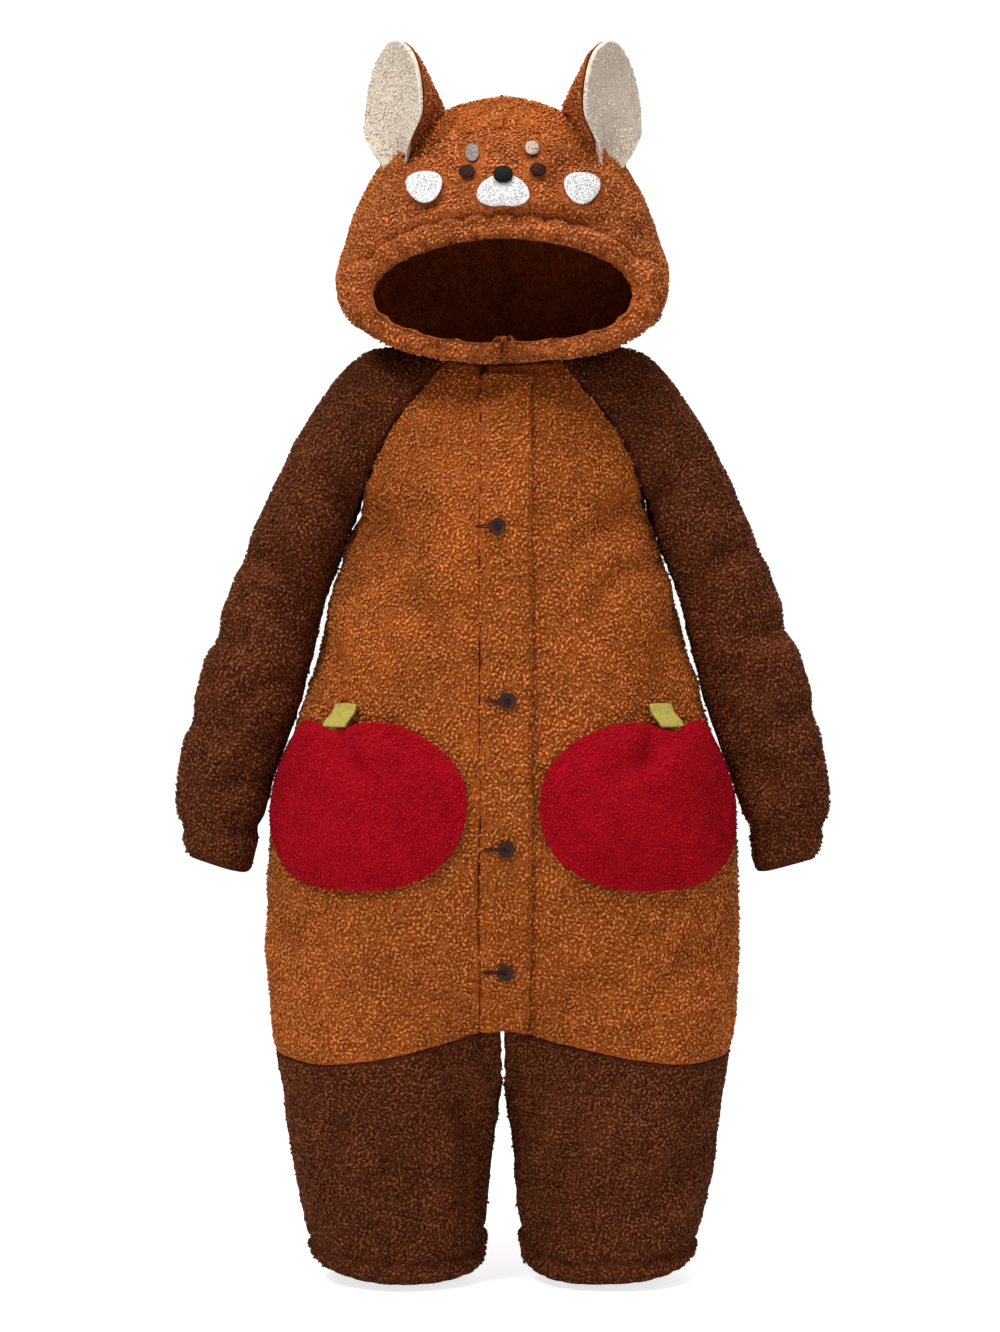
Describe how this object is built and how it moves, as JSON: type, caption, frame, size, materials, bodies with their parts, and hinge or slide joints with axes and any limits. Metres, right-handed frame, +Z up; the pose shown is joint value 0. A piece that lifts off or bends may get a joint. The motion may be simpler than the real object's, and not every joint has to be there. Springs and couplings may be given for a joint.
{
  "type": "child's hooded one-piece costume",
  "caption": "Hooded fleece one-piece costume for a small child, worked as a red panda, with eared hood, raglan sleeves, button placket and apple-shaped pockets.",
  "frame": {"origin": "middle of the neckline, where the wearer's neck and shoulders hold the garment", "axes": "+Z up, the front faces -Y, +X to the wearer's left"},
  "size_m": [0.5244, 0.2322, 0.9779],
  "materials": {
    "body_fleece": "curly sherpa pile, orange brown",
    "hood_fleece": "curly sherpa pile, reddish brown",
    "dark_fleece": "curly sherpa pile, dark brown",
    "apple_fleece": "short sherpa pile, apple red",
    "cream_plush": "short boucle plush, cream",
    "white_plush": "smooth short plush, white",
    "black_felt": "satin stitch, black",
    "eye_felt": "satin stitch, dark maroon",
    "stem_felt": "felt, olive yellow",
    "button": "moulded resin, dark brown"
  },
  "bodies": {
    "root": {"front_right": "body_fleece", "front_left": "body_fleece", "placket": "body_fleece", "back": "body_fleece", "sleeve_right": "dark_fleece", "sleeve_left": "dark_fleece", "leg_front_right": "dark_fleece", "leg_back_right": "dark_fleece", "leg_front_left": "dark_fleece", "leg_back_left": "dark_fleece", "hood_face": "hood_fleece", "hood_back_right": "body_fleece", "hood_back_left": "body_fleece", "ear_front_right": "cream_plush", "ear_back_right": "hood_fleece", "ear_front_left": "cream_plush", "ear_back_left": "hood_fleece", "muzzle": "white_plush", "nose": "black_felt", "eye_right": "eye_felt", "eye_left": "eye_felt", "brow_right": "cream_plush", "brow_left": "cream_plush", "cheek_right": "white_plush", "cheek_left": "white_plush", "pocket_right": "apple_fleece", "pocket_left": "apple_fleece", "stem_right": "stem_felt", "stem_left": "stem_felt", "button_1": "button", "button_2": "button", "button_3": "button", "button_4": "button"}
  },
  "joints": []
}
